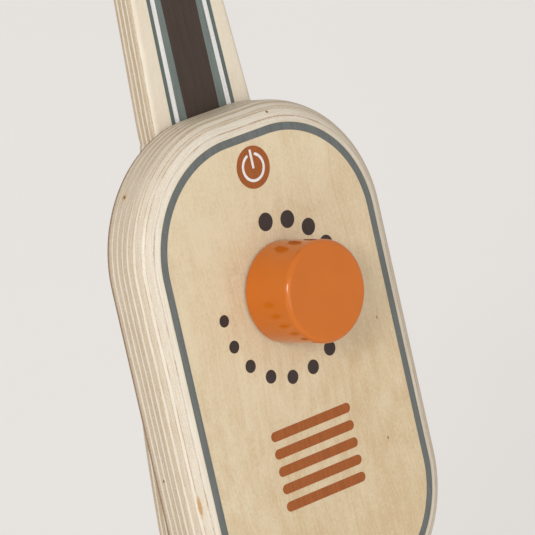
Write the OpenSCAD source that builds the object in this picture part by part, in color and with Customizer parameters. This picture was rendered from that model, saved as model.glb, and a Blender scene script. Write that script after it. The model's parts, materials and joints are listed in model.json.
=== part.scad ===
// Wooden toy vacuum cleaner. A birch plywood body block with a turning dial knob sits on a long
// handle plank, and the plank is hinged to a wheeled floor head.
// Frame: millimetres, +Z up, the front faces -Y, the floor is Z = 0.
// The upright (plank, block and knob) is drawn in its own frame, with the hinge axis as its X axis
// and Z running up the handle, and is then leaned back on the floor head.

/* [Stance] */
// Backward lean of the upright from vertical, in degrees
recline = 18.5; // [5:0.5:30]

/* [Body block] */
// Width of the body block
block_w = 122.5; // [114:0.5:134]
// Height of the body block
block_h = 201; // [190:1:220]
// Thickness of the body block
block_t = 21.5; // [20:0.5:26]
// Corner radius of the block, seen from the front
block_corner_r = 51; // [40:1:54]
// Round-over of the block's front edge
block_front_r = 10.5; // [6:0.5:12]
// Round-over of the block's back edge
block_back_r = 1.5; // [1:0.5:4]
// Height of the block above the knob axis
block_above_knob = 69.5; // [66:0.5:80]

/* [Handle plank] */
// Height of the knob axis above the hinge axis, along the handle
knob_rise = 174.5; // [165:0.5:190]
// Length of the handle above the hinge axis
handle_len = 560; // [520:5:620]
// Thickness of the handle plank
plank_t = 11.5; // [10:0.5:14]
// Round-over of the plank's edges
plank_edge_r = 2.5; // [2:0.5:4.5]
// Width of the plank where it is widest, just above the hinge
panel_low_w = 120; // [100:1:134]
// Width of the plank at the foot of its shoulder, behind the block
panel_high_w = 105.5; // [90:0.5:112]
// Width of the neck where it leaves the block
neck_low_w = 48.5; // [44:0.5:60]
// Width of the neck below the grip
neck_high_w = 37; // [32:1:44]

/* [Grip loop] */
// Outside width of the grip loop
loop_w = 92; // [84:1:110]
// Width of the hand hole
hand_hole_w = 50; // [44:1:54]
// Height of the hand hole
hand_hole_h = 71; // [62:1:84]

/* [Dial knob] */
// Diameter of the dial knob
knob_d = 38.5; // [30:0.5:46]
// Height of the knob
knob_h = 24; // [18:0.5:26]
// Round-over of the knob's front edge
knob_edge_r = 2; // [1:0.5:4]
// Sideways offset of the knob axis from the middle of the block
knob_side = 1; // [-2:0.5:2]
// Diameter of the knob spindle
spindle_d = 10; // [8:0.5:12]

/* [Click wheel] */
// Diameter of the click wheel
click_d = 30; // [26:1:34]
// Thickness of the click wheel
click_t = 5; // [4:0.5:6]
// Number of clicks in one turn
click_count = 16; // [12:1:20]

/* [Hinge] */
// Diameter of the hinge barrel
barrel_d = 36; // [34:1:40]
// Length of the hinge barrel
barrel_len = 123; // [110:1:136]
// Diameter of the hinge dowel
dowel_d = 12; // [10:0.5:12]
// Thickness of the hinge ears
ear_t = 12; // [10:0.5:15]
// Radius of the ears' rounded top
ear_r = 22; // [20:0.5:26]

/* [Floor head] */
// Width of the floor head's front part
head_w = 196; // [190:1:220]
// Reach of the floor head in front of the hinge axis
head_front = 64; // [60:1:80]
// Reach of the floor head behind the hinge axis
head_rear = 70; // [66:1:80]
// Thickness of the floor head's cover
cover_t = 21; // [19:0.5:26]
// Round-over of the cover's top edge
cover_top_r = 10; // [6:0.5:12]
// Clear height under the cover
cover_rise = 34; // [33:0.5:38]
// Thickness of the side cheeks
cheek_t = 12; // [10:0.5:14]
// Distance between the side cheeks
cheek_gap = 128; // [120:1:130]

/* [Wheels] */
// Outside diameter of the wheels, over the tyres
wheel_d = 52; // [48:1:54]
// Thickness of the wheels
wheel_t = 18; // [14:0.5:22]
// Thickness of the rubber tyres
tyre_t = 4; // [3:0.5:6]
// Diameter of the steel axle
axle_d = 6; // [5:0.5:8]
// Distance of the axle behind the hinge axis
axle_back = 62; // [58:1:70]

/* [Floor roller] */
// Diameter of the wooden roller
roller_d = 22; // [18:1:24]
// Distance of the roller in front of the hinge axis
roller_ahead = 42; // [36:1:44]
// Clearance of the roller's felt blades above the floor
roller_lift = 2; // [1:0.5:4]

/* [Hidden] */
$fn = 64;
overrun = 1;
fit_gap = 0.05;
run_gap = 0.05;
side_gap = 0.3;

// Colours
ply = "burlywood";
beech = "wheat";
orange_paint = "darkorange";
felt_grey = "dimgray";
rubber_brown = "saddlebrown";
steel = "silver";
nylon = "white";

// Upright: depths along Y, measured from the hinge axis in the plank's middle plane
plank_front = -plank_t / 2;
block_front = plank_front - block_t;
block_z = knob_rise + block_above_knob - block_h / 2;

// Plank outline
slot_wall = 3;
slot_floor = dowel_d / 2 + slot_wall;
plank_foot = slot_floor + fit_gap;
foot_margin = 1.5;
foot_w = barrel_len - 2 * foot_margin;
foot_clear = 2;
foot_rise = ear_r + foot_clear;
foot_flare = 19;
shoulder_foot_drop = 33.5;
shoulder_head_rise = 59.5;
neck_foot_rise = 76.5;
neck_taper_len = 106;
loop_flare_len = 82;
loop_straight = 18;
loop_centre = handle_len - loop_w / 2;
hole_r = hand_hole_w / 2;
hole_top_centre = loop_centre;
hole_low_centre = hole_top_centre - hand_hole_h + hand_hole_w;
edge_steps = 3;
station_steps = 4;
arc_steps = 12;

// Half widths of the plank's outline at heights above the hinge axis, as [half width, height]
shoulder_mid_share = 0.5;
flare_low_share = 0.3;
flare_low_w_share = 0.12;
flare_high_share = 0.68;
flare_high_w_share = 0.72;
shoulder_foot = knob_rise - shoulder_foot_drop;
shoulder_head = knob_rise + shoulder_head_rise;
loop_foot = loop_centre - loop_straight;
flare_foot = loop_foot - loop_flare_len;
flare_gain = (loop_w - neck_high_w) / 2;
shoulder_widening = 3.6;
shoulder_head_w = neck_low_w + shoulder_widening;
stations = [
    [foot_w / 2, plank_foot],
    [foot_w / 2, foot_rise],
    [panel_low_w / 2, foot_rise + foot_flare],
    [panel_high_w / 2, shoulder_foot],
    [(panel_high_w + shoulder_head_w) / 4,
        shoulder_foot + (shoulder_head - shoulder_foot) * shoulder_mid_share],
    [shoulder_head_w / 2, shoulder_head],
    [neck_low_w / 2, knob_rise + neck_foot_rise],
    [neck_high_w / 2, knob_rise + neck_foot_rise + neck_taper_len],
    [neck_high_w / 2, flare_foot],
    [neck_high_w / 2 + flare_gain * flare_low_w_share, flare_foot + loop_flare_len * flare_low_share],
    [neck_high_w / 2 + flare_gain * flare_high_w_share, flare_foot + loop_flare_len * flare_high_share],
    [loop_w / 2, loop_foot],
    [loop_w / 2, loop_centre]];

// Dial and click works, along Y
wall_t = 9;
knob_lift = 0.8;
knob_socket = 13;
pocket_floor = block_front + wall_t;
click_front = pocket_floor + side_gap;
click_back = click_front + click_t;
knob_back = block_front - knob_lift;
felt_washer_t = 0.6;
felt_washer_rim = 12;
felt_washer_d = spindle_d + felt_washer_rim;
knob_back_edge_r = 0.8;
notch_d = 4;
notch_out = 0.2;
nose_gap = 0.3;
leaf_t = 0.8;
leaf_margin = 0.6;
leaf_w = click_t - leaf_margin;
leaf_reach = 16;
leaf_foot = 10;
leaf_foot_w = 10;
leaf_foot_gap = 4;
leaf_screw_d = 2.4;
leaf_screw_head_d = 4.4;
leaf_screw_head_t = 1.6;
leaf_screw_bite = 6;
pocket_margin = 3;
nose_x = click_d / 2 + notch_out;
nose_r = notch_d / 2 - nose_gap;
leaf_x = nose_x + nose_r - leaf_t / 2;
leaf_foot_z = click_d / 2 + leaf_foot_gap;
washer_d = 16;
washer_t = 1;
washer_gap = 0.05;
keeper_screw_d = 3;
keeper_screw_len = 12;
keeper_head_d = 7;
keeper_head_t = 2.4;

// Screws that hold the block to the plank
body_screw_d = 4;
body_screw_head_d = 8;
body_screw_head_t = 2.4;
body_screw_bite = 12;
body_screw_low_x = 32;
body_screw_low_drop = 77.5;
body_screw_high_x = 18;
body_screw_high_rise = 42.5;
body_screw_spots = [for (s = [-1, 1]) each [
    [s * body_screw_low_x, knob_rise - body_screw_low_drop],
    [s * body_screw_high_x, knob_rise + body_screw_high_rise]]];

// Hinge
pin_d = 5;
pin_cover = 4;
pin_rise = barrel_d / 2 - pin_cover;
pin_x = 40;
pin_inset = 0.5;
pin_top = pin_rise + pin_d / 2;
pin_half = sqrt(barrel_d * barrel_d / 4 - pin_top * pin_top) - pin_inset;
ear_gap = 1;
ear_inner = barrel_len / 2 + ear_gap;
ear_outer = ear_inner + ear_t;
hinge_washer_t = 0.4;
hinge_washer_d = 30;
hinge_cap_d = 24;
hinge_cap_t = 8;
hinge_cap_edge_r = 3;
hinge_cap_socket = 3.5;
ear_dowel_d = 6;
ear_dowel_half = 11;
ear_dowel_spread = 12;

// Floor head
cover_top = cover_rise + cover_t;
hinge_rise = cover_top + ear_r;
cover_bottom_r = 2;
cover_front_corner_r = 34;
cover_rear_corner_r = 22;
cover_overlap = 40;
wheel_gap = 1.5;
notch_gap = 8;
cheek_inner = cheek_gap / 2;
cheek_outer = cheek_inner + cheek_t;
cheek_mid = cheek_inner + cheek_t / 2;
cheek_front_inset = 6;
cheek_rear_reach = 14;
cheek_corner_r = 12;
glide_t = 3;
glide_len = 50;
cheek_dowel_d = 8;
cheek_dowel_half = 9;
cheek_dowel_spread = 27;

// Wheels
wheel_washer_t = 1.5;
wheel_washer_d = 14;
wheel_inner = cheek_outer + wheel_washer_t + side_gap;
wheel_outer = wheel_inner + wheel_t;
rim_r = wheel_d / 2 - tyre_t;
dish_rim = 4;
dish_r = rim_r - dish_rim;
dish_depth = 2;
tyre_corner_r = 1.5;
axle_cap_d = 16;
axle_cap_t = 7;
axle_cap_edge_r = 6;
axle_cap_socket = 4;

// Roller
blade_count = 4;
blade_t = 3;
blade_out = 3;
blade_root = 3;
roller_axis = roller_d / 2 + blade_out + roller_lift;
roller_gap = 1;
roller_dowel_d = 8;
roller_half = cheek_inner - roller_gap;
blade_inset = 3;

// The origin is on the floor, in the middle of the overall box
back_reach = (handle_len - plank_edge_r) * sin(recline)
    + (plank_t / 2 - plank_edge_r) * cos(recline) + plank_edge_r;
hinge_y = (head_front - back_reach) / 2;

// Places
module at_hinge() { translate([0, hinge_y, hinge_rise]) children(); }
module leaned() { at_hinge() rotate([-recline, 0, 0]) children(); }
module at_knob() { translate([knob_side, 0, knob_rise]) children(); }
module on_side(side) { if (side < 0) mirror([1, 0, 0]) children(); else children(); }

// Turned and drilled shapes
// A rod along X from x0 to x1
module rod_x(d, x0, x1) { translate([x0, 0, 0]) rotate([0, 90, 0]) cylinder(d = d, h = x1 - x0); }
// A rod along Y from y0 to y1
module rod_y(d, y0, y1) { translate([0, y0, 0]) rotate([-90, 0, 0]) cylinder(d = d, h = y1 - y0); }
// A solid turned about X, its profile's Y running towards +X
module turned_x() { rotate([0, 90, 0]) rotate_extrude() children(); }
// What a round-over of radius r takes off a square corner at its own origin
module corner_waste(r) { difference() { square(r + overrun); circle(r); } }

// Half section of a slab with rounded edges, from its middle out to reach
module slab_half(reach, t, top_r, bottom_r) {
    difference() {
        square([reach, t]);
        translate([reach - top_r, t - top_r]) corner_waste(top_r);
        translate([reach - bottom_r, bottom_r]) mirror([0, 1]) corner_waste(bottom_r);
    }
}

// A lying slab with rounded corners and rounded edges
module slab(w, d, t, corner_r, top_r, bottom_r) {
    half_w = w / 2 - corner_r;
    half_d = d / 2 - corner_r;
    for (x = [-1, 1], y = [-1, 1])
        translate([x * half_w, y * half_d, 0])
            rotate_extrude() slab_half(corner_r, t, top_r, bottom_r);
    for (s = [0, 1]) {
        mirror([s, 0, 0]) translate([0, half_d, 0]) rotate([90, 0, 0])
            linear_extrude(2 * half_d) slab_half(w / 2, t, top_r, bottom_r);
        mirror([0, s, 0]) translate([-half_w, 0, 0]) rotate([90, 0, 90])
            linear_extrude(2 * half_w) slab_half(d / 2, t, top_r, bottom_r);
    }
}

// A countersunk screw along +Y, its head's face at Y = 0 looking back
module countersunk(d, head_d, head_t, len) {
    rotate([90, 0, 0]) {
        cylinder(d1 = head_d, d2 = d, h = head_t);
        cylinder(d = d, h = len);
    }
}

// Plank outline
function spline(a, b, c, d, t) = ((2 * b) + (c - a) * t + (2 * a - 5 * b + 4 * c - d) * t * t
    + (3 * b - a - 3 * c + d) * t * t * t) / 2;
function station(i) = stations[min(max(i, 0), len(stations) - 1)];
side_line = [for (i = [0 : len(stations) - 2], k = [0 : station_steps - 1])
    spline(station(i - 1), station(i), station(i + 1), station(i + 2), k / station_steps)];
top_line = [for (k = [0 : arc_steps - 1]) let (a = 90 * k / arc_steps)
    [loop_w / 2 * cos(a), loop_centre + loop_w / 2 * sin(a)]];
outline = concat(side_line, top_line);

function unit(v) = v / norm(v);
function outward(pts, i) = let (n = len(pts), d = pts[min(i + 1, n - 1)] - pts[max(i - 1, 0)])
    unit([d[1], -d[0]]);
function drawn_in(pts, inset) = [for (i = [0 : len(pts) - 1])
    i == 0 ? pts[0] - [inset, 0] : pts[i] - inset * outward(pts, i)];

// Insets and depths of a plate's rounded edge, from its front face to its back face
function edge_rings(t, r, steps) = concat(
    [for (k = [0 : steps]) let (a = 90 * k / steps) [r * (1 - sin(a)), -t / 2 + r * (1 - cos(a))]],
    [for (k = [steps : -1 : 0]) let (a = 90 * k / steps) [r * (1 - sin(a)), t / 2 - r * (1 - cos(a))]]);

// A plate from a right-hand half outline, mirrored in X, with its rings listed front to back
module mirrored_plate(half, rings) {
    n = len(half);
    ring_len = 2 * n;
    points = [for (ring = rings) let (line = drawn_in(half, ring[0])) each concat(
        [for (p = line) [p[0], ring[1], p[1]]],
        [for (i = [n - 1 : -1 : 0]) [-line[i][0], ring[1], line[i][1]]])];
    last = (len(rings) - 1) * ring_len;
    walls = [for (r = [0 : len(rings) - 2], i = [0 : ring_len - 1]) let (
        a = r * ring_len + i, b = r * ring_len + (i + 1) % ring_len) each [
            [a, b, a + ring_len], [b, b + ring_len, a + ring_len]]];
    caps = [for (i = [0 : n - 2]) let (j = ring_len - 1 - i) each [
        [i, j, i + 1], [i + 1, j, j - 1],
        [last + i, last + i + 1, last + j], [last + i + 1, last + j - 1, last + j]]];
    polyhedron(points, concat(walls, caps));
}

// The hand hole, with its edges opened out into the plank's round-over
function hole_line(out) = concat(
    [for (k = [0 : arc_steps]) let (a = -90 + 90 * k / arc_steps)
        [(hole_r + out) * cos(a), hole_low_centre + (hole_r + out) * sin(a)]],
    [for (k = [0 : arc_steps]) let (a = 90 * k / arc_steps)
        [(hole_r + out) * cos(a), hole_top_centre + (hole_r + out) * sin(a)]]);
module hand_hole() {
    half = hole_line(0);
    n = len(half) - 1;
    rings = concat([[plank_edge_r, -plank_t / 2 - overrun]],
        edge_rings(plank_t, plank_edge_r, edge_steps), [[plank_edge_r, plank_t / 2 + overrun]]);
    ring_len = 2 * n;
    points = [for (ring = rings) let (line = hole_line(ring[0])) each concat(
        [for (i = [0 : n - 1]) [line[i][0], ring[1], line[i][1]]],
        [for (i = [n : -1 : 1]) [-line[i][0], ring[1], line[i][1]]])];
    last = (len(rings) - 1) * ring_len;
    walls = [for (r = [0 : len(rings) - 2], i = [0 : ring_len - 1]) let (
        a = r * ring_len + i, b = r * ring_len + (i + 1) % ring_len) each [
            [a, b, a + ring_len], [b, b + ring_len, a + ring_len]]];
    caps = [for (i = [1 : ring_len - 2]) each [[0, i + 1, i], [last, last + i, last + i + 1]]];
    polyhedron(points, concat(walls, caps));
}

// Upright pieces
module handle_plank() {
    color(ply) leaned() difference() {
        mirrored_plate(outline, edge_rings(plank_t, plank_edge_r, edge_steps));
        hand_hole();
        for (spot = body_screw_spots) translate([spot[0], plank_t / 2, spot[1]])
            countersunk(body_screw_d + 2 * fit_gap, body_screw_head_d + 2 * fit_gap,
                body_screw_head_t, plank_t + overrun);
        for (s = [-1, 1]) translate([s * pin_x, 0, pin_rise])
            rod_y(pin_d + 2 * fit_gap, -plank_t, plank_t);
    }
}

module click_pocket() {
    at_knob() {
        rod_y(click_d + 2 * pocket_margin, pocket_floor, plank_front + overrun);
        translate([leaf_x - leaf_foot_w / 2 - pocket_margin, pocket_floor, -leaf_reach - pocket_margin])
            cube([leaf_foot_w + 2 * pocket_margin, block_t - wall_t + overrun,
                leaf_reach + leaf_foot_z + leaf_foot + 2 * pocket_margin]);
    }
}

module body_block() {
    color(ply) leaned() difference() {
        translate([0, plank_front, block_z]) rotate([90, 0, 0])
            slab(block_w, block_h, block_t, block_corner_r, block_front_r, block_back_r);
        click_pocket();
        at_knob() rod_y(spindle_d + 2 * run_gap, block_front - overrun, pocket_floor + overrun);
        at_leaf_screws()
            rod_y(leaf_screw_d + 2 * fit_gap, pocket_floor - leaf_screw_bite, pocket_floor + overrun);
        for (spot = body_screw_spots) translate([spot[0], 0, spot[1]])
            rod_y(body_screw_d + 2 * fit_gap, plank_front - body_screw_bite, plank_front + overrun);
    }
}

module hinge_barrel() {
    color(beech) leaned() difference() {
        rod_x(barrel_d, -barrel_len / 2, barrel_len / 2);
        rod_x(dowel_d + 2 * run_gap, -barrel_len / 2 - overrun, barrel_len / 2 + overrun);
        translate([-barrel_len / 2 - overrun, -plank_t / 2 - fit_gap, slot_floor])
            cube([barrel_len + 2 * overrun, plank_t + 2 * fit_gap, barrel_d]);
        for (s = [-1, 1]) translate([s * pin_x, 0, pin_rise])
            rod_y(pin_d + 2 * fit_gap, -barrel_d, barrel_d);
    }
}

module barrel_pins() {
    color(beech) leaned() for (s = [-1, 1]) translate([s * pin_x, 0, pin_rise])
        rod_y(pin_d, -pin_half, pin_half);
}

module body_screws() {
    color(steel) leaned() for (spot = body_screw_spots) translate([spot[0], plank_t / 2, spot[1]])
        countersunk(body_screw_d, body_screw_head_d, body_screw_head_t, plank_t + body_screw_bite - fit_gap);
}

// Dial works
module at_leaf_screws() {
    at_knob() for (s = [-1, 1])
        translate([leaf_x + s * leaf_foot_w / 4, 0, leaf_foot_z + leaf_foot / 2]) children();
}

module click_leaf() {
    color(nylon) leaned() difference() {
        at_knob() {
            translate([leaf_x - leaf_t / 2, pocket_floor, -leaf_reach])
                cube([leaf_t, leaf_w, leaf_reach + leaf_foot_z + overrun]);
            translate([nose_x, 0, 0]) rod_y(2 * nose_r, pocket_floor, pocket_floor + leaf_w);
            translate([leaf_x - leaf_foot_w / 2, pocket_floor, leaf_foot_z])
                cube([leaf_foot_w, leaf_w, leaf_foot]);
        }
        at_leaf_screws()
            rod_y(leaf_screw_d + 2 * fit_gap, pocket_floor - overrun, pocket_floor + leaf_w + overrun);
    }
}

module leaf_screws() {
    color(steel) leaned() at_leaf_screws() {
        rod_y(leaf_screw_d, pocket_floor - leaf_screw_bite + fit_gap, pocket_floor + leaf_w);
        rod_y(leaf_screw_head_d, pocket_floor + leaf_w, pocket_floor + leaf_w + leaf_screw_head_t);
    }
}

module knob_felt_washer() {
    color(felt_grey) leaned() at_knob() difference() {
        rod_y(felt_washer_d, block_front - felt_washer_t, block_front);
        rod_y(spindle_d + 2 * side_gap, block_front - felt_washer_t - overrun, block_front + overrun);
    }
}

module knob() {
    color(orange_paint) leaned() at_knob() translate([0, knob_back, 0]) difference() {
        rotate([90, 0, 0]) rotate_extrude() slab_half(knob_d / 2, knob_h, knob_edge_r, knob_back_edge_r);
        rod_y(spindle_d + 2 * fit_gap, -knob_socket, overrun);
    }
}

module knob_spindle() {
    color(beech) leaned() at_knob() difference() {
        rod_y(spindle_d, knob_back - knob_socket + fit_gap, click_back);
        rod_y(keeper_screw_d + 2 * fit_gap, click_back - keeper_screw_len, click_back + overrun);
    }
}

module click_wheel() {
    color(nylon) leaned() at_knob() difference() {
        rod_y(click_d, click_front, click_back);
        rod_y(spindle_d + 2 * fit_gap, click_front - overrun, click_back + overrun);
        for (k = [0 : click_count - 1]) rotate([0, 360 * k / click_count, 0])
            translate([nose_x, 0, 0]) rod_y(notch_d, click_front - overrun, click_back + overrun);
    }
}

module spindle_washer() {
    color(steel) leaned() at_knob() difference() {
        rod_y(washer_d, click_back + washer_gap, click_back + washer_gap + washer_t);
        rod_y(keeper_screw_d + 2 * fit_gap, click_back - overrun, click_back + washer_t + overrun);
    }
}

module spindle_screw() {
    head_y = click_back + 2 * washer_gap + washer_t;
    color(steel) leaned() at_knob() {
        rod_y(keeper_screw_d, click_back - keeper_screw_len + fit_gap, head_y);
        rod_y(keeper_head_d, head_y, head_y + keeper_head_t);
    }
}

// Floor head pieces
module head_cover() {
    front_d = head_front + axle_back - wheel_d / 2 - notch_gap;
    rear_d = head_rear + cover_overlap;
    rear_w = 2 * (wheel_inner - wheel_gap);
    color(ply) translate([0, hinge_y, cover_rise]) difference() {
        union() {
            translate([0, front_d / 2 - head_front, 0])
                slab(head_w, front_d, cover_t, cover_front_corner_r, cover_top_r, cover_bottom_r);
            translate([0, head_rear - rear_d / 2, 0])
                slab(rear_w, rear_d, cover_t, cover_rear_corner_r, cover_top_r, cover_bottom_r);
        }
        at_ear_dowels() translate([0, 0, cover_t - ear_dowel_half])
            cylinder(d = ear_dowel_d + 2 * fit_gap, h = ear_dowel_half + overrun);
        at_cheek_dowels() translate([0, 0, -overrun])
            cylinder(d = cheek_dowel_d + 2 * fit_gap, h = cheek_dowel_half + overrun);
    }
}

module at_ear_dowels() {
    for (x = [-1, 1], y = [-1, 1])
        translate([x * (ear_inner + ear_t / 2), y * ear_dowel_spread, 0]) children();
}
module at_cheek_dowels() {
    for (x = [-1, 1], y = [-1, 1])
        translate([x * cheek_mid, y * cheek_dowel_spread, 0]) children();
}

module ear_dowels() {
    color(beech) translate([0, hinge_y, cover_top - ear_dowel_half + fit_gap])
        at_ear_dowels() cylinder(d = ear_dowel_d, h = 2 * (ear_dowel_half - fit_gap));
}

module cheek_dowels() {
    color(beech) translate([0, hinge_y, cover_rise - cheek_dowel_half + fit_gap])
        at_cheek_dowels() cylinder(d = cheek_dowel_d, h = 2 * (cheek_dowel_half - fit_gap));
}

module cheek(side) {
    front = -head_front + cheek_front_inset;
    rear = axle_back + cheek_rear_reach;
    h = cover_rise - glide_t;
    color(ply) translate([0, hinge_y, 0]) difference() {
        on_side(side) translate([cheek_inner, 0, glide_t]) rotate([90, 0, 90])
            linear_extrude(cheek_t) difference() {
                translate([front, 0]) square([rear - front, h]);
                translate([rear - cheek_corner_r, cheek_corner_r])
                    mirror([0, 1]) corner_waste(cheek_corner_r);
                translate([rear - cheek_corner_r, h - cheek_corner_r]) corner_waste(cheek_corner_r);
                translate([front + cheek_corner_r, cheek_corner_r]) rotate(180) corner_waste(cheek_corner_r);
            }
        translate([0, axle_back, wheel_d / 2])
            rod_x(axle_d + 2 * fit_gap, -cheek_outer - overrun, cheek_outer + overrun);
        translate([0, -roller_ahead, roller_axis])
            rod_x(roller_dowel_d + 2 * fit_gap, -cheek_outer - overrun, cheek_outer + overrun);
        translate([0, 0, cover_rise - cheek_dowel_half]) at_cheek_dowels()
            cylinder(d = cheek_dowel_d + 2 * fit_gap, h = cheek_dowel_half + overrun);
    }
}
module left_cheek() { cheek(-1); }
module right_cheek() { cheek(1); }

module felt_glide(side) {
    color(felt_grey) translate([0, hinge_y, 0]) on_side(side)
        translate([cheek_inner, -head_front + cheek_front_inset + cheek_corner_r, 0])
            cube([cheek_t, glide_len, glide_t]);
}
module left_felt_glide() { felt_glide(-1); }
module right_felt_glide() { felt_glide(1); }

module ear(side) {
    color(ply) at_hinge() difference() {
        on_side(side) translate([ear_inner, 0, 0]) rotate([90, 0, 90]) linear_extrude(ear_t) {
            circle(ear_r);
            translate([-ear_r, -ear_r]) square([2 * ear_r, ear_r]);
        }
        rod_x(dowel_d + 2 * fit_gap, -ear_outer - overrun, ear_outer + overrun);
        translate([0, 0, -ear_r - overrun]) at_ear_dowels()
            cylinder(d = ear_dowel_d + 2 * fit_gap, h = ear_dowel_half + overrun);
    }
}
module left_ear() { ear(-1); }
module right_ear() { ear(1); }

module hinge_dowel() {
    half = ear_outer + hinge_cap_socket - fit_gap;
    color(beech) at_hinge() rod_x(dowel_d, -half, half);
}

module hinge_cap(side) {
    color(orange_paint) at_hinge() on_side(side) translate([ear_outer, 0, 0]) difference() {
        turned_x() slab_half(hinge_cap_d / 2, hinge_cap_t, hinge_cap_edge_r, fit_gap);
        rod_x(dowel_d + 2 * fit_gap, -overrun, hinge_cap_socket);
    }
}
module left_hinge_cap() { hinge_cap(-1); }
module right_hinge_cap() { hinge_cap(1); }

module hinge_washers() {
    inner = barrel_len / 2 + (ear_gap - hinge_washer_t) / 2;
    color(felt_grey) at_hinge() for (side = [-1, 1]) on_side(side) difference() {
        rod_x(hinge_washer_d, inner, inner + hinge_washer_t);
        rod_x(dowel_d + 2 * side_gap, inner - overrun, inner + hinge_washer_t + overrun);
    }
}

// Running gear
module at_axle() { translate([0, hinge_y + axle_back, wheel_d / 2]) children(); }
module at_roller() { translate([0, hinge_y - roller_ahead, roller_axis]) children(); }

module wheel_axle() {
    half = wheel_outer + side_gap + axle_cap_socket - fit_gap;
    color(steel) at_axle() rod_x(axle_d, -half, half);
}

module axle_cap(side) {
    color(orange_paint) at_axle() on_side(side) translate([wheel_outer + side_gap, 0, 0]) difference() {
        turned_x() slab_half(axle_cap_d / 2, axle_cap_t, axle_cap_edge_r, fit_gap);
        rod_x(axle_d + 2 * fit_gap, -overrun, axle_cap_socket);
    }
}
module left_axle_cap() { axle_cap(-1); }
module right_axle_cap() { axle_cap(1); }

module wheel_washers() {
    color(steel) at_axle() for (side = [-1, 1]) on_side(side) difference() {
        rod_x(wheel_washer_d, cheek_outer, cheek_outer + wheel_washer_t);
        rod_x(axle_d + 2 * fit_gap, cheek_outer - overrun, wheel_inner);
    }
}

module wheel(side) {
    color(beech) at_axle() on_side(side) difference() {
        rod_x(2 * rim_r, wheel_inner, wheel_outer);
        rod_x(axle_d + 2 * run_gap, wheel_inner - overrun, wheel_outer + overrun);
        difference() {
            rod_x(2 * dish_r, wheel_outer - dish_depth, wheel_outer + overrun);
            rod_x(axle_cap_d + dish_rim, wheel_outer - dish_depth - overrun, wheel_outer + 2 * overrun);
        }
    }
}
module left_wheel() { wheel(-1); }
module right_wheel() { wheel(1); }

module tyre(side) {
    color(rubber_brown) at_axle() on_side(side) difference() {
        translate([wheel_inner, 0, 0]) turned_x()
            slab_half(wheel_d / 2, wheel_t, tyre_corner_r, tyre_corner_r);
        rod_x(2 * (rim_r + fit_gap), wheel_inner - overrun, wheel_outer + overrun);
    }
}
module left_tyre() { tyre(-1); }
module right_tyre() { tyre(1); }

module roller_dowel() {
    color(beech) at_roller() rod_x(roller_dowel_d, -cheek_outer, cheek_outer);
}

module at_blades() { for (k = [0 : blade_count - 1]) rotate([360 * k / blade_count, 0, 0]) children(); }

module floor_roller() {
    color(orange_paint) at_roller() difference() {
        rod_x(roller_d, -roller_half, roller_half);
        rod_x(roller_dowel_d + 2 * run_gap, -roller_half - overrun, roller_half + overrun);
        at_blades()
            translate([-roller_half + blade_inset, -blade_t / 2 - fit_gap, roller_d / 2 - blade_root])
                cube([2 * (roller_half - blade_inset), blade_t + 2 * fit_gap, blade_root + blade_out]);
    }
}

module roller_felt_blades() {
    color(felt_grey) at_roller() at_blades()
        translate([-roller_half + blade_inset + fit_gap, -blade_t / 2, roller_d / 2 - blade_root + fit_gap])
            cube([2 * (roller_half - blade_inset - fit_gap), blade_t, blade_root + blade_out - fit_gap]);
}

head_cover();
left_cheek();
right_cheek();
left_felt_glide();
right_felt_glide();
wheel_axle();
left_axle_cap();
right_axle_cap();
wheel_washers();
roller_dowel();
left_ear();
right_ear();
ear_dowels();
cheek_dowels();
hinge_dowel();
left_hinge_cap();
right_hinge_cap();
hinge_washers();
handle_plank();
body_block();
hinge_barrel();
barrel_pins();
body_screws();
click_leaf();
leaf_screws();
knob_felt_washer();
knob();
knob_spindle();
click_wheel();
spindle_washer();
spindle_screw();
left_wheel();
left_tyre();
right_wheel();
right_tyre();
floor_roller();
roller_felt_blades();
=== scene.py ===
import json
import math

import bmesh
import bpy
from mathutils import Matrix, Vector


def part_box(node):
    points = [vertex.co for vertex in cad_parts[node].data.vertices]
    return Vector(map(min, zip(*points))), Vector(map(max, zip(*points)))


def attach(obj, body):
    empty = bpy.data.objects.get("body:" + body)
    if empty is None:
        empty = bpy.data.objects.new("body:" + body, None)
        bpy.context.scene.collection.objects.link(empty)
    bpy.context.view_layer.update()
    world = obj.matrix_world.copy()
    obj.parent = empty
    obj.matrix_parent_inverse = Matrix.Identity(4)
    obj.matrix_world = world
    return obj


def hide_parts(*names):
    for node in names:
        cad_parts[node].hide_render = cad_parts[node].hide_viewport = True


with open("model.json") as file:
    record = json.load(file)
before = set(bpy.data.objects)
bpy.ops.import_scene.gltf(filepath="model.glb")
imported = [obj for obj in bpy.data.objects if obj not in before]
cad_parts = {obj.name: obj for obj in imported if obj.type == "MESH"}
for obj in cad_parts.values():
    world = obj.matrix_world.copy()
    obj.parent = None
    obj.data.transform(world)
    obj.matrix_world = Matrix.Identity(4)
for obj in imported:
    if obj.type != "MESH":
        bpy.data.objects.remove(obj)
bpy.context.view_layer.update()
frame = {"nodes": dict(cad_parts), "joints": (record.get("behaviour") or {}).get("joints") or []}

# Floor head cover: the low shoe that the cleaner is pushed along on. It is a thick birch plywood
# board, sawn to a broad front and a narrower back, rounded over on top and dowelled to the cheeks.
MM = 0.001
joints = {joint["name"]: joint for joint in frame["joints"]}
hinge = Vector(joints["handle_tilt"]["pos_m"])
axle = Vector(joints["left_wheel_spin"]["pos_m"])
cover_low, cover_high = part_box("head_cover")
cover_top_r = 10 * MM
cover_bottom_r = 2 * MM
cover_front_corner = 34 * MM
cover_back_corner = 22 * MM
cover_notch_r = 5 * MM
wheel_clearance = 1.5 * MM
notch_clearance = 8 * MM
cover_plies = 15
cover_round_steps = 10


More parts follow.
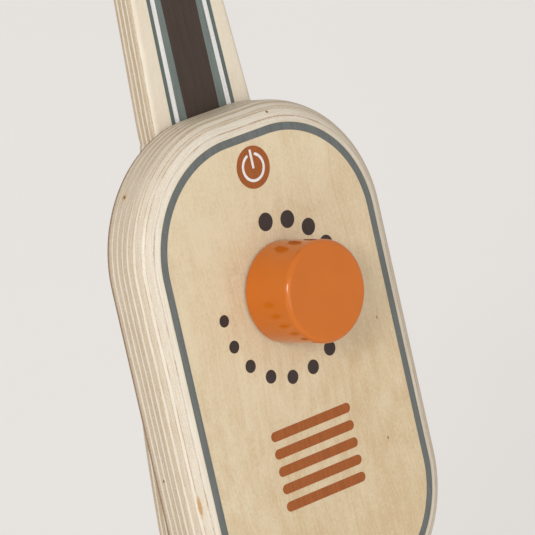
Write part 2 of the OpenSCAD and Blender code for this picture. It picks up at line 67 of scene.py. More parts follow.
def arc_loop(arcs, inset=0.0, step=5):
    """Points round an outline of arcs joined by straight lines, drawn in by inset, with an angle of
    about step between them. An arc is its centre, radius, first and last angle, and one that runs
    backwards is a hollow corner."""
    points = []
    for u, v, radius, first, last in arcs:
        steps = max(2, round(abs(last - first) / step))
        r = radius - inset if last > first else radius + inset
        for k in range(steps + 1):
            a = math.radians(first + (last - first) * k / steps)
            points.append((u + r * math.cos(a), v + r * math.sin(a)))
    return points


def follow(arcs, step=5):
    """The outline of arcs at any inset."""
    return lambda inset: arc_loop(arcs, inset, step)


def rounded(corners, steps=6, rim=0.4 * MM):
    """A profile through corners (a, b, radius), each rounded to its radius. The points that lie rim
    outside each round keep the flats beside it level when they are shaded smooth."""
    line = [Vector(corners[0][:2])]
    for before, (a, b, radius), after in zip(corners, corners[1:], corners[2:]):
        corner = Vector((a, b))
        back = (Vector(before[:2]) - corner).normalized()
        on = (Vector(after[:2]) - corner).normalized()
        half = back.angle(on) / 2
        reach = radius / math.tan(half)
        centre = corner + (back + on).normalized() * radius / math.sin(half)
        first = corner + back * reach - centre
        last = corner + on * reach - centre
        sweep = math.pi - 2 * half
        line.append(corner + back * (reach + rim))
        for k in range(steps + 1):
            bend = first * math.sin((1 - k / steps) * sweep) + last * math.sin(k / steps * sweep)
            line.append(centre + bend / math.sin(sweep))
        line.append(corner + on * (reach + rim))
    line.append(Vector(corners[-1][:2]))
    return line


def edge_line(inner, outer, depth, front_r, back_r, steps=6, rim=0.4 * MM):
    """A profile that runs from inner to outer, back by depth and in again, with two rounds."""
    return rounded([(inner, 0), (outer, 0, front_r), (outer, depth, back_r), (inner, depth)],
                   steps, rim)


def board_edge(thickness, front_r, back_r, steps=6):
    """Inset and depth down a board's edge, from its front face to its back face."""
    flat = 0.8 * MM
    return edge_line(max(front_r, back_r) + flat, 0, thickness, front_r, back_r, steps)


def made(name, shape):
    """The finished piece: doubles merged, faces outwards, smooth but for its sharp edges."""
    same_place = 0.0002 * MM
    sharp_angle = math.radians(38)
    bmesh.ops.remove_doubles(shape, verts=shape.verts, dist=same_place)
    bmesh.ops.recalc_face_normals(shape, faces=shape.faces)
    mesh = bpy.data.meshes.new(name)
    shape.to_mesh(mesh)
    shape.free()
    mesh.shade_smooth()
    mesh.set_sharp_from_angle(angle=sharp_angle)
    piece = bpy.data.objects.new(name, mesh)
    bpy.context.scene.collection.objects.link(piece)
    return piece


def loft(shape, rings):
    """Joins each ring to the next by a band of faces."""
    for ring, after in zip(rings, rings[1:]):
        for i, corner in enumerate(ring):
            shape.faces.new((ring[i - 1], corner, after[i], after[i - 1]))


def shaped(name, outline, edge, place, hollow=False):
    """A piece whose rings follow outline(a) at depth b for each (a, b) of its edge. A hollow piece
    closes from its last ring to its first, and any other is capped at both ends."""
    shape = bmesh.new()
    rings = [[shape.verts.new(place(u, v, depth)) for u, v in outline(a)] for a, depth in edge]
    if hollow:
        rings.append(rings[0])
    else:
        shape.faces.new(rings[0])
        shape.faces.new(rings[-1])
    loft(shape, rings)
    return made(name, shape)


class Tone:
    """A socket of a node tree that can stand in a sum, where each operator adds a Math node."""

    def __init__(self, tree, socket):
        self.tree = tree
        self.socket = socket

    def node(self, kind, settings, sockets, out=0):
        node = self.tree.nodes.new(kind)
        for key, value in settings.items():
            setattr(node, key, value)
        for key, value in sockets.items():
            if isinstance(value, Tone):
                self.tree.links.new(value.socket, node.inputs[key])
            else:
                node.inputs[key].default_value = value
        return Tone(self.tree, node.outputs[out])

    def math(self, operation, *values):
        return self.node("ShaderNodeMath", {"operation": operation}, dict(enumerate(values)))

    def __add__(self, other):
        return self.math("ADD", self, other)

    __radd__ = __add__

    def __sub__(self, other):
        return self.math("SUBTRACT", self, other)

    def __rsub__(self, other):
        return self.math("SUBTRACT", other, self)

    def __mul__(self, other):
        return self.math("MULTIPLY", self, other)

    __rmul__ = __mul__

    def __truediv__(self, other):
        return self.math("DIVIDE", self, other)

    def __rtruediv__(self, other):
        return self.math("DIVIDE", other, self)

    def __abs__(self):
        return self.math("ABSOLUTE", self)

    def vector(self, operation, *values, out=0):
        return self.node("ShaderNodeVectorMath", {"operation": operation}, dict(enumerate(values)), out)

    def held(self):
        """This, kept between 0 and 1."""
        return self.math("MAXIMUM", 0, self.math("MINIMUM", 1, self))

    def rise(self, low, high):
        """0 below low, 1 above high, and a smooth step between them."""
        return self.node("ShaderNodeMapRange", {"interpolation_type": "SMOOTHSTEP"},
                         {"Value": self, "From Min": low, "From Max": high})

    def mix(self, colour, other):
        """colour where this is 0, other where it is 1."""
        return self.node("ShaderNodeMix", {"data_type": "RGBA"}, {0: self, 6: colour, 7: other}, 2)

    def stretched(self, x, y, z):
        return self.vector("MULTIPLY", self, (x, y, z))

    def noise(self, detail=2.0, roughness=0.5):
        return self.node("ShaderNodeTexNoise", {},
                         {"Vector": self, "Scale": 1.0, "Detail": detail, "Roughness": roughness})

    def grain(self, scale, detail=2.0, roughness=0.5):
        """Noise of the same size in every direction."""
        return self.stretched(scale, scale, scale).noise(detail, roughness)

    def bump(self, strength, distance):
        return self.node("ShaderNodeBump", {},
                         {"Strength": strength, "Distance": distance, "Height": self})

    def turned_to(self, place, turn, unit):
        """This vector in a frame that stands at place, turned by turn, and measures in unit."""
        return self.node("ShaderNodeMapping", {"vector_type": "TEXTURE"},
                         {"Vector": self, "Location": place, "Rotation": turn, "Scale": (unit,) * 3})

    def xyz(self, x=0.0, y=0.0, z=0.0):
        return self.node("ShaderNodeCombineXYZ", {}, {0: x, 1: y, 2: z})

    def split(self):
        parts = self.node("ShaderNodeSeparateXYZ", {}, {0: self}).socket.node
        return [Tone(self.tree, socket) for socket in parts.outputs]


def paint(red, green, blue):
    """A colour as seen on a screen, from 0 to 255, as Blender's linear colour."""
    seen = [part / 255 for part in (red, green, blue)]
    return [s / 12.92 if s < 0.04045 else ((s + 0.055) / 1.055) ** 2.4 for s in seen] + [1.0]


def new_finish(name):
    """A new material, its shader, and its object coordinates and normal."""
    finish = bpy.data.materials.new(name)
    finish.use_nodes = True
    tree = finish.node_tree
    source = tree.nodes.new("ShaderNodeTexCoord")
    shader = tree.nodes["Principled BSDF"]
    return finish, shader, Tone(tree, source.outputs["Object"]), Tone(tree, source.outputs["Normal"])


def dress(shader, sockets):
    for key, value in sockets.items():
        if isinstance(value, Tone):
            value.tree.links.new(value.socket, shader.inputs[key])
        else:
            shader.inputs[key].default_value = value


def birch_ply(name, corner, axes, thickness, plies, face=(219, 204, 173), face_dark=(200, 174, 137),
              gradient_and_shade=(0, 0, 0), arris_shade=0, marks=(), tanning=0.6):
    """Birch plywood as it is sawn from the sheet: corner lies on its front face, and axes run across
    the face grain, into the sheet and along the face grain. Every second ply lies crosswise, so it
    shows tan end grain where its neighbours show pale long grain. The face darkens by
    gradient_and_shade for each millimetre along the axes, and the side edge where it darkens across
    the face is darkened with it as painted shade. The last arris_shade millimetres of the back arris
    are darkened brown, partly as painted shade along the joint behind. A mark is its place in the
    sheet, half width, half length and colour, and tanning is how far the end grain darkens."""
    edge_pale = paint(223, 215, 200)
    edge_tan = paint(176, 153, 118)
    glue_brown = paint(168, 138, 108)
    dust_pale = paint(235, 229, 219)
    arris_shade_brown = paint(112, 76, 42)
    back = thickness / MM
    pair = 2 * back / plies
    long_share = 0.36
    soft_share = 0.035
    glue_line = (0.04, 0.17)
    face_skin = (0.08, 0.42)
    finish, shader, place, normal = new_finish(name)
    turn = Matrix(axes).transposed().to_euler()
    sheet = place.turned_to(corner, turn, MM)
    across, depth, _ = sheet.split()
    end_across, flat, end_along = [abs(part) for part in normal.turned_to((0, 0, 0), turn, 1).split()]

    waver = sheet.stretched(0.03, 0.02, 0.03).noise(2) - 0.5
    fuzz = sheet.grain(1.6, 3) - 0.5
    layer = (depth + waver * 0.55 + fuzz * 0.26) / pair
    phase = layer.math("FRACT", layer)
    cross = phase.rise(long_share - soft_share, long_share + soft_share)
    cross = cross * (1 - phase.rise(1 - 2 * soft_share, 1))
    end = end_along + (end_across - end_along) * cross
    long_fibre = sheet.stretched(2.4, 6, 0.06).noise(3)
    cross_fibre = sheet.stretched(0.06, 6, 2.4).noise(3)
    fibre = long_fibre + (cross_fibre - long_fibre) * cross
    sheets = sheet.stretched(0.07, 5.5, 0.07).noise(3, 0.6)
    grit = sheet.grain(2.8, 2)
    pores = grit.rise(0.57, 0.7) * end
    shade = end * end * tanning + (fibre - 0.5) * 0.7 + (sheets - 0.5) * 1.1 + pores * 0.22 + 0.08
    # Edges that face along the face grain, such as the block's top beside the stripe, darken a little
    # more: painted shade.
    shade = shade + end_along * end_along * 0.2
    # The side edge on the side where the face darkens across is darkened too: painted shade.
    painted_side_shade = across.math("MAXIMUM", 0, across) * (2 * gradient_and_shade[0])
    shade = shade + painted_side_shade * end_across.math("POWER", end_across, 0.5)
    edge = shade.held().mix(edge_pale, edge_tan)
    to_glue = phase.math("MINIMUM", abs(phase - long_share), phase.math("MINIMUM", phase, 1 - phase))
    patchy = sheet.stretched(0.12, 0.5, 0.12).noise(2).rise(0.42, 0.62)
    glue = (1 - (to_glue * pair).rise(*glue_line)) * (0.35 + patchy * 0.5)
    edge = glue.mix(edge, glue_brown)
    edge = ((1 - grit.rise(0.3, 0.42)) * 0.55).mix(edge, dust_pale)

    bent = sheet.node("ShaderNodeTexNoise", {},
                      {"Vector": sheet.stretched(0.03, 0, 0.02), "Scale": 1.0, "Detail": 1.0}, "Color")
    bent = sheet.vector("MULTIPLY_ADD", bent, (11, 0, 30), sheet)
    clouds = bent.stretched(0.05, 0, 0.035).noise(4, 0.6)
    mottle = bent.stretched(0.2, 0, 0.12).noise(4, 0.6)
    streaks = bent.stretched(0.9, 0, 0.03).noise(3, 0.6)
    flecks = sheet.stretched(1.5, 0, 0.65).noise(2)
    deeper = sheet.vector("DOT_PRODUCT", sheet, gradient_and_shade, out="Value")
    figuring = deeper + 0.42
    for figure, weight in ((clouds, 1.4), (mottle, 1.0), (streaks, 0.8), (flecks, 1.15), (grit, 1.3)):
        figuring = figuring + (figure - 0.5) * weight
    veneer = figuring.held().mix(paint(*face), paint(*face_dark))
    to_face = depth.math("MINIMUM", depth, back - depth) + fuzz * 0.2
    colour = (1 - to_face.rise(*face_skin)).mix(edge, veneer)
    # Brown back arris, partly painted shade along the joint with the part behind.
    if arris_shade:
        arris_darkened = (depth + fuzz).rise(back - arris_shade, back - arris_shade / 3) * (1 - flat * flat)
        colour = arris_darkened.mix(colour, arris_shade_brown)
    for spot, half, long, tint in marks:
        off = sheet.vector("SUBTRACT", sheet, spot).stretched(1, 1, half / long)
        off = off.vector("LENGTH", off, out="Value") + fuzz * half
        colour = (1 - off.rise(half * 0.4, half)).mix(colour, paint(*tint))
    height = fibre * 0.5 + flecks * 0.5 + sheets * 0.5 - pores
    dress(shader, {"Base Color": colour, "Roughness": 0.48 + mottle * 0.16,
                   "Normal": height.bump(0.3, 0.06 * MM), "Specular IOR Level": 0.25,
                   "Coat Weight": 0.12, "Coat Roughness": 0.25})
    return finish


def keep(piece, body, slot, finish, *nodes):
    """The piece in its finish, on its body, shown in place of the named solids."""
    piece.data.materials.clear()
    piece.data.materials.append(finish)
    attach(piece, body)
    if nodes:
        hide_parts(*nodes)


def cover_outline(inset):
    half_w = cover_high.x
    front = cover_low.y - hinge.y
    back = cover_high.y - hinge.y
    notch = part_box("right_tyre")[0].y - notch_clearance - hinge.y
    back_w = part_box("right_wheel")[0].x - wheel_clearance
    corner, back_corner, hollow = cover_front_corner, cover_back_corner, cover_notch_r
    hollow_v = notch - corner + math.sqrt(
        (corner + hollow) ** 2 - (back_w + hollow - half_w + corner) ** 2)
    meet = math.degrees(math.atan2(hollow_v - notch + corner, back_w + hollow - half_w + corner))
    right = [(half_w - corner, front + corner, corner, -90, 0),
             (half_w - corner, notch - corner, corner, 0, meet),
             (back_w + hollow, hollow_v, hollow, meet + 180, 180),
             (back_w - back_corner, back - back_corner, back_corner, 0, 90)]
    left = [(-u, v, r, 180 - last, 180 - first) for u, v, r, first, last in reversed(right)]
    return arc_loop(right + left, inset)


def on_cover(u, v, depth):
    return Vector((u, hinge.y + v, cover_high.z - depth))


cover_t = cover_high.z - cover_low.z
cover_edge = board_edge(cover_t, cover_top_r, cover_bottom_r, cover_round_steps)
cover = shaped("head_cover_board", cover_outline, cover_edge, on_cover)
keep(cover, "floor_head", "birch_plywood",
     birch_ply("cover_plywood", (0, hinge.y, cover_high.z), ((0, -1, 0), (0, 0, -1), (1, 0, 0)),
               cover_t, cover_plies), "head_cover")


# Matching border line on the cover: one pass of grey screen ink, set in from the edge as on the body
# block and laid over the start of the round-over.
border_w = 3 * MM
cover_border_inset = 9 * MM
ink_t = 0.05 * MM
border_grey = (105, 110, 108)


def ink(name, colour):
    """Screen ink on bare wood: the colour breaks up a little where the grain stands proud."""
    finish, shader, place, _ = new_finish(name)
    speck = place.grain(1900, 2)
    streak = place.stretched(900, 60, 60).noise(3)
    worn = ((speck - 0.5) * 0.5 + (streak - 0.5) * 0.6 + 0.4).rise(0, 1)
    deep = [part * 0.86 for part in colour]
    thin = [min(255, part * 1.1 + 5) for part in colour]
    dress(shader, {"Base Color": worn.mix(paint(*deep), paint(*thin)),
                   "Roughness": 0.44 + speck * 0.2, "Specular IOR Level": 0.25})
    return finish


def border_rings(inset, width, round_r, steps=8):
    """Rings of a closed band of ink on a board's front face, which may run onto its round-over."""
    across = [inset + width * k / steps for k in range(steps + 1)]
    lie = [(s, round_r - math.sqrt(round_r ** 2 - max(0, round_r - s) ** 2)) for s in across]
    return [(s, d - ink_t) for s, d in lie] + [(s, d + ink_t) for s, d in reversed(lie)]


grey_ink = ink("grey_border_ink", border_grey)
cover_border = shaped("cover_border_line", cover_outline,
                      border_rings(cover_border_inset, border_w, cover_top_r), on_cover, True)
keep(cover_border, "floor_head", "birch_plywood", grey_ink)

# Side cheeks: two plywood runners on edge under the cover, which carry the axle and the roller. They
# are sawn with rounded ends and dowelled up into the cover.
cheek_corner = 12 * MM
cheek_ease = 1.2 * MM
cheek_square = 2.2 * MM
cheek_plies = 9
both_sides = ((-1, "left"), (1, "right"))


def side_box(node):
    """A solid's lowest and highest corner, and its nearest and furthest reach from the middle."""
    low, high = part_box(node)
    return low, high, *sorted((abs(low.x), abs(high.x)))


def plate_corners(low, high, radii):
    """The corners of a plate from low to high as arcs, round from the low one on the right."""
    (left, foot), (right, top), (a, b, c, d) = low, high, radii
    return [(right - a, foot + a, a, -90, 0), (right - b, top - b, b, 0, 90),
            (left + c, top - c, c, 90, 180), (left + d, foot + d, d, 180, 270)]


def on_side(side, outer, middle):
    """Places a plate that stands on edge, outline in Y and Z, depth running in from outer."""
    return lambda u, v, depth: Vector((side * (outer - depth), middle.y + u, middle.z + v))


for side, word in both_sides:
    low, high, inner, outer = side_box(word + "_cheek")
    arcs = plate_corners(low.yz, high.yz, (cheek_corner, cheek_corner, cheek_square, cheek_corner))
    cheek = shaped(word + "_cheek_board", follow(arcs),
                   board_edge(outer - inner, cheek_ease, cheek_ease), on_side(side, outer, Vector()))
    wood = birch_ply(word + "_cheek_plywood", (side * outer, 0, 0),
                     ((0, 0, side), (-side, 0, 0), (0, 1, 0)), outer - inner, cheek_plies)
    keep(cheek, "floor_head", "birch_plywood", wood, word + "_cheek")

# Felt glides: strips of pressed wool felt glued under the cheeks, on which the front of the floor
# head slides.
glide_ease = 0.9 * MM
glide_corner = 3 * MM


def felt(name):
    """Pressed wool felt: grey, flecked, with a soft fuzzy surface."""
    finish, shader, place, _ = new_finish(name)
    fleck = place.grain(700, 4, 0.7)
    tuft = place.grain(2600, 3)
    colour = (fleck * 0.7 + tuft * 0.4).rise(0.3, 0.8).mix(paint(88, 90, 88), paint(134, 136, 132))
    dress(shader, {"Base Color": colour, "Roughness": 0.92, "Sheen Weight": 0.25,
                   "Normal": (tuft + fleck).bump(0.7, 0.3 * MM)})
    return finish


grey_felt = felt("grey_wool_felt")
for side, word in both_sides:
    low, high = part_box(word + "_felt_glide")
    arcs = plate_corners(low.xy, high.xy, [glide_corner] * 4)
    glide = shaped(word + "_glide_felt", follow(arcs),
                   board_edge(high.z - low.z, glide_ease, glide_ease),
                   lambda u, v, depth: Vector((u, v, high.z - depth)))
    keep(glide, "floor_head", "grey_felt", grey_felt, word + "_felt_glide")

# Floor roller: a turned wooden roller, painted orange, that runs on a beech dowel between the cheeks.
# Four felt blades are let into it and flick along just above the floor.
roller = Vector(joints["roller_spin"]["pos_m"])
roller_low, roller_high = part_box("floor_roller")
roller_r = (roller_high.z - roller_low.z) / 2
roller_ease = 1.5 * MM
roller_bore = 4.05 * MM
blade_count = 4
blade_t = 3 * MM
blade_root = 3 * MM
blade_out = 3 * MM
blade_inset = 3 * MM
blade_ease = 0.8 * MM
dowel_end = 0.4 * MM
dowel_dome = 0.2 * MM
dowel_ease = 0.5 * MM
core_share = 1 / 8
circle_sides = 96
turned_steps = 4
thin_rim = 0.1 * MM


def circle(radius):
    turns = [k * math.tau / circle_sides for k in range(circle_sides)]
    return [(radius * math.cos(turn), radius * math.sin(turn)) for turn in turns]


def orange_paint(name):
    """Gloss orange paint, sprayed on turned wood: a faint orange peel, clouded by the grain below."""
    finish, shader, place, _ = new_finish(name)
    cloud = place.grain(60, 2)
    peel = place.grain(500, 1)
    colour = cloud.rise(0.2, 0.8).mix(paint(195, 102, 18), paint(200, 106, 23))
    dress(shader, {"Base Color": colour, "Roughness": 0.08 + cloud * 0.05,
                   "Normal": peel.bump(0.04, 0.03 * MM), "Specular IOR Level": 0.42})
    return finish


def beech(name, axes):
    """Beech, turned or drawn into dowel: close pinkish grain along the last axis, with short flecks."""
    finish, shader, place, normal = new_finish(name)
    turn = Matrix(axes).transposed().to_euler()
    stick = place.turned_to((0, 0, 0), turn, MM)
    end = abs(normal.turned_to((0, 0, 0), turn, 1).split()[2])
    ring = stick.stretched(0.5, 0.5, 0.01).noise(3)
    fleck = stick.stretched(2.4, 2.4, 0.3).noise(1).rise(0.6, 0.7)
    fine = stick.grain(3, 2)
    shade = ((ring - 0.5) * 1.6 + fleck * 0.3 + end * 0.3 + (fine - 0.5) * 0.3 + 0.35).rise(0, 1)
    dress(shader, {"Base Color": shade.mix(paint(228, 203, 168), paint(196, 158, 118)),
                   "Roughness": 0.45 + ring * 0.15, "Normal": fine.bump(0.2, 0.05 * MM)})
    return finish


def set_tree(name, sizes):
    """A new Geometry Nodes tree with a named input for each size, its inputs by name, and the number
    of the copy at hand."""
    tree = bpy.data.node_groups.new(name, "GeometryNodeTree")
    kinds = {int: "NodeSocketInt", float: "NodeSocketFloat", Vector: "NodeSocketVector",
             bpy.types.Object: "NodeSocketObject", bpy.types.Material: "NodeSocketMaterial"}
    for key, value in sizes.items():
        tree.interface.new_socket(key, in_out="INPUT", socket_type=kinds[type(value)])
    tree.interface.new_socket("Geometry", in_out="OUTPUT", socket_type="NodeSocketGeometry")
    start = tree.nodes.new("NodeGroupInput")
    which = tree.nodes.new("GeometryNodeInputIndex")
    given = {key: Tone(tree, start.outputs[key]) for key in sizes}
    return tree, given, Tone(tree, which.outputs[0])


def copies(count, spot, one, **more):
    """The shape one at each of count points, each at its spot."""
    points = spot.node("GeometryNodePoints", {}, {"Count": count, "Position": spot})
    return points.node("GeometryNodeInstanceOnPoints", {},
                       {"Points": points, "Instance": one, **more})


def set_out(name, tree, pattern, finish, sizes):
    """Ends the tree with its realised copies in their material, sets its sizes, and turns the result
    into a plain mesh."""
    real = pattern.node("GeometryNodeRealizeInstances", {}, {0: pattern})
    dressed = real.node("GeometryNodeSetMaterial", {}, {0: real, 2: finish})
    end = tree.nodes.new("NodeGroupOutput")
    tree.links.new(dressed.socket, end.inputs[0])
    piece = bpy.data.objects.new(name, bpy.data.meshes.new(name))
    bpy.context.scene.collection.objects.link(piece)
    maker = piece.modifiers.new("maker", "NODES")
    maker.node_group = tree
    for item in tree.interface.items_tree:
        if item.in_out == "INPUT":
            maker[item.identifier] = sizes[item.name]
    evaluated = piece.evaluated_get(bpy.context.evaluated_depsgraph_get())
    mesh = bpy.data.meshes.new_from_object(evaluated)
    piece.modifiers.remove(maker)
    piece.data = mesh
    return piece


def refinish(node, finish):
    """A solid that stays as it is gets its finish in its own material slot."""
    solid = frame["nodes"][node].data
    solid.materials.clear()
    solid.materials.append(finish)


orange = orange_paint("gloss_orange_paint")
roller_beech = beech("dowel_beech", ((0, 1, 0), (0, 0, 1), (1, 0, 0)))
roller_half = roller_high.x
roller_line = edge_line(roller_bore, roller_r, 2 * roller_half, roller_ease, roller_ease)
roller_wood = shaped("painted_roller", circle, roller_line, on_side(1, roller_half, roller), True)
keep(roller_wood, "roller", "orange_paint", orange, "floor_roller")

blade_half = roller_half - blade_inset
blade_arcs = plate_corners((-blade_half, roller_r - blade_root), (blade_half, roller_r + blade_out),
                           [blade_ease] * 4)
blade_line = edge_line(blade_ease, 0, blade_t, blade_ease / 2, blade_ease / 2, 3, blade_ease / 20)
blade = shaped("one_blade", follow(blade_arcs), blade_line,
               lambda u, v, depth: Vector((u, depth - blade_t / 2, v)))
sizes = {"Blade": blade, "Count": blade_count, "Axis": roller, "Felt": grey_felt}
tree, given, which = set_tree("blades_round_roller", sizes)
count = given["Count"]
swing = which.xyz(which * math.tau / count)
one = count.node("GeometryNodeObjectInfo", {}, {0: given["Blade"]}, "Geometry")
fan = copies(count, given["Axis"], one, Rotation=swing)
blades = set_out("roller_blades", tree, fan, given["Felt"], sizes)
bpy.data.objects.remove(blade)
keep(blades, "roller", "grey_felt", grey_felt, "roller_felt_blades")

dowel_low, dowel_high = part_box("roller_dowel")
dowel_r = (dowel_high.z - dowel_low.z) / 2
dowel_len = 2 * (dowel_high.x + dowel_end)
dowel_line = rounded([(dowel_r * core_share, 0), (dowel_r, dowel_dome, dowel_ease),
                      (dowel_r, dowel_len - dowel_dome, dowel_ease),
                      (dowel_r * core_share, dowel_len)], turned_steps, thin_rim)
roller_dowel = shaped("roller_dowel_rod", circle, dowel_line,
                      on_side(1, dowel_high.x + dowel_end, roller))
keep(roller_dowel, "floor_head", "beech", roller_beech, "roller_dowel")

# Running wheels: two turned beech discs with a shallow dish outside, each with a brown rubber tyre
# stretched onto its rim. They turn freely on one steel axle.
dish_r = 18 * MM
hub_r = 10 * MM
dish_depth = 2 * MM
wheel_ease = 0.8 * MM
dish_ease = 0.5 * MM
tyre_ease = 1.5 * MM
groove_w = 1.2 * MM
groove_depth = 0.7 * MM
groove_ease = 0.25 * MM
groove_shares = (1 / 3, 2 / 3)


def rubber(name):
    """Matt brown moulded rubber, a little dusty on its raised parts."""
    finish, shader, place, _ = new_finish(name)
    dust = place.grain(160, 4, 0.6)
    fine = place.grain(2400, 2)
    dress(shader, {"Base Color": dust.rise(0.3, 0.8).mix(paint(66, 52, 46), paint(92, 78, 70)),
                   "Roughness": 0.62 + fine * 0.2, "Normal": fine.bump(0.25, 0.05 * MM)})
    return finish


wheel_beech = beech("wheel_beech", ((1, 0, 0), (0, 1, 0), (0, 0, 1)))
brown_rubber = rubber("brown_tyre_rubber")
for side, word in both_sides:
    low, high, inner, outer = side_box(word + "_wheel")
    rim_r = (high.z - low.z) / 2
    wide = outer - inner
    at_axle = on_side(side, outer, axle)
    wheel_line = rounded([(hub_r / 3, 0), (hub_r, 0, dish_ease), (hub_r, dish_depth, dish_ease),
                          (dish_r, dish_depth, dish_ease), (dish_r, 0, dish_ease),
                          (rim_r, 0, wheel_ease), (rim_r, wide, wheel_ease), (hub_r / 3, wide)],
                         turned_steps, thin_rim)
    wheel = shaped(word + "_beech_wheel", circle, wheel_line, at_axle)
    keep(wheel, word + "_running_wheel", "beech", wheel_beech, word + "_wheel")

    tyre_low, tyre_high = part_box(word + "_tyre")
    tyre_r = (tyre_high.z - tyre_low.z) / 2
    tread = [(tyre_r, 0, tyre_ease)]
    for share in groove_shares:
        start, end = wide * share - groove_w / 2, wide * share + groove_w / 2
        tread += [(tyre_r, start, groove_ease), (tyre_r - groove_depth, start, groove_ease),
                  (tyre_r - groove_depth, end, groove_ease), (tyre_r, end, groove_ease)]
    tyre_line = rounded([(rim_r, 0)] + tread + [(tyre_r, wide, tyre_ease), (rim_r, wide)],
                        turned_steps, thin_rim / 2)
    tyre = shaped(word + "_rubber_tyre", circle, tyre_line, at_axle, True)
    keep(tyre, word + "_running_wheel", "brown_rubber", brown_rubber, word + "_tyre")

# Axle and its fixings: a plain steel rod through the cheeks, a steel washer beside each wheel, and an
# orange wooden cap pressed on each end.
cap_crown = 6 * MM
cap_foot_ease = 0.3 * MM
cap_round_steps = 10


def steel(name):
    """Zinc plated steel, drawn along X, with fine lines and a slightly uneven plating."""
    finish, shader, place, _ = new_finish(name)
    line = place.stretched(60, 3000, 3000).noise(3)
    cloud = place.grain(200, 2)
    colour = cloud.mix(paint(176, 176, 172), paint(204, 204, 200))
    dress(shader, {"Base Color": colour, "Metallic": 1.0, "Roughness": 0.26 + line * 0.16})
    return finish


zinc_steel = steel("zinc_plated_steel")
refinish("wheel_axle", zinc_steel)
refinish("wheel_washers", zinc_steel)
for side, word in both_sides:
    low, high, inner, outer = side_box(word + "_axle_cap")
    cap_r = (high.z - low.z) / 2
    cap_line = edge_line(cap_r * core_share, cap_r, outer - inner, cap_crown, cap_foot_ease,
                         cap_round_steps, thin_rim)
    cap = shaped(word + "_painted_axle_cap", circle, cap_line, on_side(side, outer, axle))
    keep(cap, "floor_head", "orange_paint", orange, word + "_axle_cap")

# Hinge ears: two round-topped plywood brackets that stand on the cover on hidden dowels and hold the
# ends of the hinge dowel.
ear_ease = 1.5 * MM
ear_square = 2.5 * MM
ear_plies = 9

for side, word in both_sides:
    low, high, inner, outer = side_box(word + "_ear")
    ear_r = high.z - hinge.z
    ear_arcs = [(0, 0, ear_r, 0, 180),
                (-ear_r + ear_square, -ear_r + ear_square, ear_square, 180, 270),
                (ear_r - ear_square, -ear_r + ear_square, ear_square, 270, 360)]
    ear = shaped(word + "_ear_bracket", follow(ear_arcs),
                 board_edge(outer - inner, ear_ease, ear_ease), on_side(side, outer, hinge))
    wood = birch_ply(word + "_ear_plywood", (side * outer, hinge.y, hinge.z),
                     ((0, side, 0), (-side, 0, 0), (0, 0, 1)), outer - inner, ear_plies)
    keep(ear, "floor_head", "birch_plywood", wood, word + "_ear")
for node in ("ear_dowels", "cheek_dowels"):
    refinish(node, wheel_beech)

# Hinge barrel: a length of thick beech rod with a slot sawn along it for the foot of the handle plank,
# which two pegs hold. It swings on a beech dowel, with felt washers and orange caps at its ends.
dial_axis = Vector(joints["dial_turn"]["axis"])
recline = math.atan2(dial_axis.z, -dial_axis.y)
lean = Matrix.Translation(hinge) @ Matrix.Rotation(-recline, 4, "X")
slot_gap = 0.05 * MM
slot_floor = 9 * MM
slot_corner = 0.4 * MM
lip_r = 2 * MM
barrel_ease = 1 * MM
washer_bore = 6.3 * MM
washer_t = 0.4 * MM
washer_ease = 0.1 * MM
hinge_cap_ease = 3 * MM
hinge_cap_steps = 8


def leaned_box(node):
    """Lowest and highest corner of a solid in the upright's own frame, which stands on the hinge."""
    upright = lean.inverted()
    spots = [upright @ point.co for point in frame["nodes"][node].data.vertices]
    return [Vector(pick(spot[k] for spot in spots) for k in range(3)) for pick in (min, max)]


plank_low, plank_high = leaned_box("handle_plank")
barrel_low, barrel_high = leaned_box("hinge_barrel")
barrel_r = -barrel_low.z
slot_half = plank_high.y + slot_gap
lip_u = slot_half + lip_r
lip_v = math.sqrt((barrel_r - lip_r) ** 2 - lip_u ** 2)
lip_turn = math.degrees(math.atan2(lip_v, lip_u))
floor_u, floor_v = slot_half - slot_corner, slot_floor + slot_corner
barrel_arcs = [(0, 0, barrel_r, 180 - lip_turn, 360 + lip_turn),
               (lip_u, lip_v, lip_r, lip_turn, 180),
               (floor_u, floor_v, slot_corner, 0, -90),
               (-floor_u, floor_v, slot_corner, -90, -180),
               (-lip_u, lip_v, lip_r, 0, 180 - lip_turn)]
barrel = shaped("slotted_barrel", follow(barrel_arcs),
                board_edge(2 * barrel_high.x, barrel_ease, barrel_ease),
                lambda u, v, depth: lean @ Vector((barrel_high.x - depth, u, v)))
barrel_beech = beech("barrel_beech", ((0, 1, 0), (0, 0, 1), (1, 0, 0)))
keep(barrel, "upright", "beech", barrel_beech, "hinge_barrel")
refinish("barrel_pins", wheel_beech)
refinish("hinge_dowel", roller_beech)

washer_low, washer_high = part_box("hinge_washers")
washer_r = (washer_high.z - washer_low.z) / 2
washer_line = edge_line(washer_bore, washer_r, washer_t, washer_ease, washer_ease, 2, 0.02 * MM)
rings = [shaped("washer", circle, washer_line, on_side(side, washer_high.x, hinge), True)
         for side in (-1, 1)]
with bpy.context.temp_override(active_object=rings[0], selected_editable_objects=rings):
    bpy.ops.object.join()
rings[0].name = "hinge_felt_washers"
keep(rings[0], "floor_head", "grey_felt", grey_felt, "hinge_washers")

for side, word in both_sides:
    low, high, inner, outer = side_box(word + "_hinge_cap")
    cap_r = (high.z - low.z) / 2
    cap_line = edge_line(cap_r * core_share, cap_r, outer - inner, hinge_cap_ease, cap_foot_ease,
                         hinge_cap_steps)
    cap = shaped(word + "_painted_hinge_cap", circle, cap_line, on_side(side, outer, hinge))
    keep(cap, "floor_head", "orange_paint", orange, word + "_hinge_cap")

